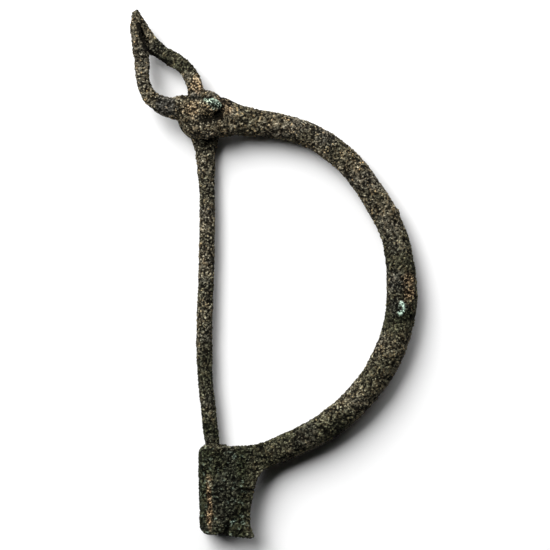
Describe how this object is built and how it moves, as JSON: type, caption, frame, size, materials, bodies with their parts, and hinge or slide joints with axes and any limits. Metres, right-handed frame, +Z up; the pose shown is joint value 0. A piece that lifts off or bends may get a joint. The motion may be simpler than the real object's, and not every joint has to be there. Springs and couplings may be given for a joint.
{
  "type": "fibula brooch",
  "caption": "Corroded bronze brooch with a D-shaped bow, a pointed wire loop at the head, a straight pin on a rivet and a folded catch.",
  "frame": {"origin": "on the ground, in the middle of the footprint of the brooch lying on its side", "axes": "+Z up, away from the ground, +Y along the pin from the catch to the head, +X from the pin to the bow"},
  "size_m": [0.0489, 0.0899, 0.0066],
  "materials": {
    "bronze": "dark granular patina, olive brown",
    "pin_bronze": "dark granular patina, grey brown",
    "rivet_bronze": "lumpy, pale green corrosion"
  },
  "bodies": {
    "bow": {"bow": "bronze", "rivet": "rivet_bronze"},
    "pin": {"pin": "pin_bronze"}
  },
  "joints": [
    {"name": "pin_swing", "type": "hinge", "parent": "bow", "child": "pin", "pos_m": [-0.01106, 0.02814, 0.0016], "axis": [0, 0, 1], "range_deg": [0, 4.3]}
  ]
}
